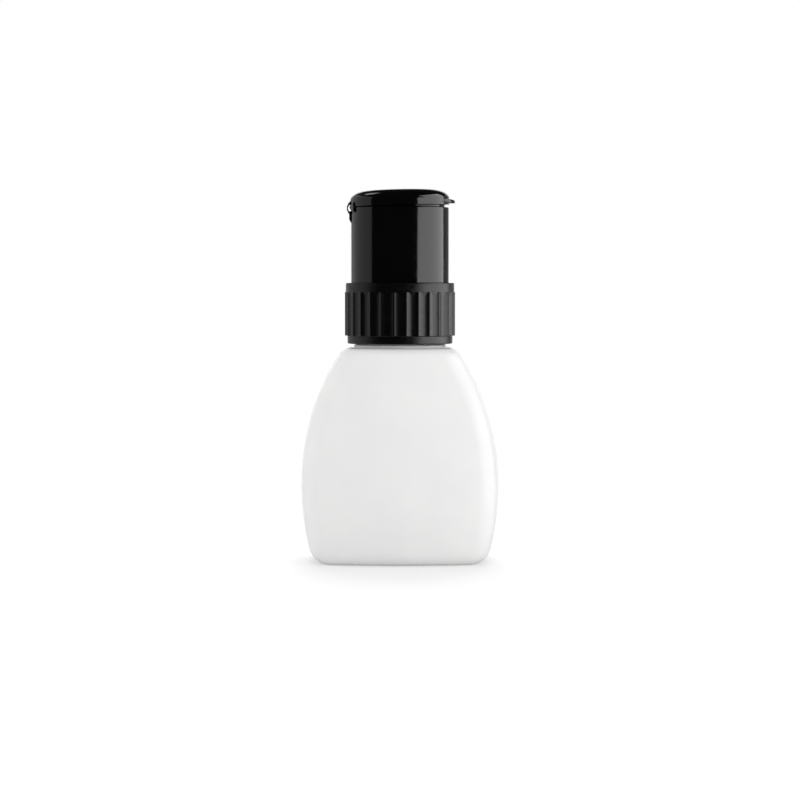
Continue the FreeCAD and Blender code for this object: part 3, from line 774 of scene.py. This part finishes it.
# Name, bearing (0 in front, 90 to the right), distance, height, size and watts of each softbox
GLOSS_LIGHTS = (
    ("strip_right", 81, 0.8, 0.0, (1.36, 0.6), 7.2),
    ("high_right", 91, 0.8, 0.59, (1.12, 0.6), 5.8),
    ("strip_left", -110, 0.8, 0.1, (1.39, 1.3), 2.7),
    ("backdrop", 180, 1.5, 0.1, (1.3, 1.2), 6.5),
    ("rear_right", 140, 1.5, 0.1, (1.2, 1.2), 0.9),
    ("glint", -141, 0.7, 0.95, (0.26, 0.26), 0.5),
)
MATT_LIGHTS = (
    ("soft_right", 54, 0.5, 0.2, (0.4, 0.4), 0.62),
    ("soft_left", -98, 1.2, 0.25, (0.7, 0.9), 2.3),
)

# Camera: level with the top of the collar, and its picture centred lower, on the bottle
VIEW_DISTANCE, EYE_Z, AIM_Z, FIELD = 0.9, COLLAR_TOP * MM, 0.05703, 0.2842

def plain_material(name, colour, roughness, specular, glow=0.0):
    finish = Finish(name, colour, roughness, Specular_IOR_Level=specular)
    finish.shader.inputs["Emission Color"].default_value = (*colour, 1)
    finish.shader.inputs["Emission Strength"].default_value = glow
    return finish.material


def level_floor():
    half = FLOOR_SIZE / 2
    mesh = bpy.data.meshes.new("floor")
    corners = [(-half, -half, 0), (half, -half, 0), (half, half, 0), (-half, half, 0)]
    mesh.from_pydata(corners, [], [[0, 1, 2, 3]])
    floor = bpy.data.objects.new("floor", mesh)
    bpy.context.scene.collection.objects.link(floor)
    paint(floor, plain_material("floor_white", FLOOR_COLOUR, 0.6, 0.0, FLOOR_GLOW))
    floor.visible_glossy = False


def softbox(name, bearing, distance, height, size, watts, reflected=True, lit=True):
    """Area light that points at the object.

    A light that is only reflected shapes the gloss of the black pieces, and one that only lights matt
    surfaces shapes the white ones, as flags and nets do in a studio.
    """
    light = bpy.data.lights.new(name, "AREA")
    light.shape = "RECTANGLE"
    light.size, light.size_y = size
    light.energy = watts
    obj = bpy.data.objects.new(name, light)
    turn = math.radians(bearing)
    obj.location = (distance * math.sin(turn), -distance * math.cos(turn), height)
    obj.rotation_euler = (Vector((0, 0, MIDDLE_Z)) - obj.location).to_track_quat("-Z", "Y").to_euler()
    obj.visible_camera, obj.visible_diffuse, obj.visible_glossy = False, lit, reflected
    bpy.context.scene.collection.objects.link(obj)


def surroundings():
    """Pale to the eye and to matt surfaces; polished pieces reflect a dim room and stay black."""
    world = bpy.data.worlds.new("studio")
    world.use_nodes = True
    nodes, links = world.node_tree.nodes, world.node_tree.links
    path = nodes.new("ShaderNodeLightPath").outputs
    shade = nodes["Background"].outputs[0]
    nodes["Background"].inputs["Color"].default_value = (1, 1, 1, 1)
    nodes["Background"].inputs["Strength"].default_value = AMBIENT
    for ray, strength in (("Is Glossy Ray", ROOM), ("Is Camera Ray", PALE)):
        seen, mix = nodes.new("ShaderNodeBackground"), nodes.new("ShaderNodeMixShader")
        seen.inputs["Color"].default_value = (1, 1, 1, 1)
        seen.inputs["Strength"].default_value = strength
        links.new(path[ray], mix.inputs["Fac"])
        links.new(shade, mix.inputs[1])
        links.new(seen.outputs[0], mix.inputs[2])
        shade = mix.outputs[0]
    links.new(shade, nodes["World Output"].inputs["Surface"])
    bpy.context.scene.world = world


def back_sun():
    """Broad soft light from behind, which lays the object's shadow on the floor in front of it."""
    light = bpy.data.lights.new("back_sun", "SUN")
    light.energy, light.angle = SUN_STRENGTH, SUN_WIDTH
    obj = bpy.data.objects.new("back_sun", light)
    obj.rotation_euler = (SUN_TILT, 0, 0)
    obj.visible_glossy = False
    bpy.context.scene.collection.objects.link(obj)


def studio():
    surroundings()
    level_floor()
    for light in GLOSS_LIGHTS:
        softbox(*light, lit=False)
    for light in MATT_LIGHTS:
        softbox(*light, reflected=False)
    back_sun()


def camera():
    lens = bpy.data.cameras.new("camera")
    eye, aim = Vector((0, -VIEW_DISTANCE, EYE_Z)), Vector((0, 0, AIM_Z))
    lens.lens = lens.sensor_width * (aim - eye).length / FIELD
    lens.clip_start, lens.clip_end = 0.01, 20
    obj = bpy.data.objects.new("camera", lens)
    obj.location = eye
    obj.rotation_euler = (aim - eye).to_track_quat("-Z", "Y").to_euler()
    bpy.context.scene.collection.objects.link(obj)
    bpy.context.scene.camera = obj


# ---------------------------------------------------------------- assembly

def place(obj, body, node, material):
    """A rigid piece that stands for one CAD node and rides on its body."""
    paint(obj, material)
    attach(obj, body)
    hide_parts(node)
    return obj


def place_bending(obj, node, material):
    """A piece of the living hinge between the head and the lid, with its placing baked into its mesh."""
    paint(obj, material)
    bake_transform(obj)
    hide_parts(node)


bottle_white, collar_black, head_black = bottle_finish(), collar_finish(), head_finish()
pump_natural = natural_finish("natural_pp", (0.74, 0.75, 0.74), 0.36, 5.0)
piston_natural = natural_finish("natural_pe", (0.8, 0.8, 0.77), 0.26, 3.0)
tube_natural = natural_finish("natural_ldpe", (0.78, 0.79, 0.79), 0.3, 2.0)
wire_steel = steel_finish("spring_steel", 0.22, (1, 1, 6))
ball_steel = steel_finish("ball_steel", 0.09, (1, 1, 1))

place(bottle_body(), "bottle", "bottle_body", bottle_white)
place(screw_collar(), "collar", "screw_collar", collar_black)
place(head_shell(), "pump_head", "head_shell", head_black)
place(flip_lid(), "lid", "flip_lid", head_black)
place_bending(hinge_film(), "hinge_film", head_black)
for web_side in (-1, 1):
    place_bending(hinge_web(web_side), "hinge_webs", head_black)
spring = place(return_spring(), "pump_engine", "return_spring", wire_steel)
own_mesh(spring)

for node in ("pump_housing", "stem_guide", "ball_cage", "stem", "ball_retainer"):
    paint_node(node, pump_natural)
for node in ("inlet_ball", "outlet_ball"):
    paint_node(node, ball_steel)
paint_node("piston", piston_natural)
paint_node("dip_tube", tube_natural)
paint_node("neck_gasket", foam_finish())
paint_node("dispensing_dish", head_black)

studio()
camera()
bpy.context.scene.view_settings.view_transform = "Standard"
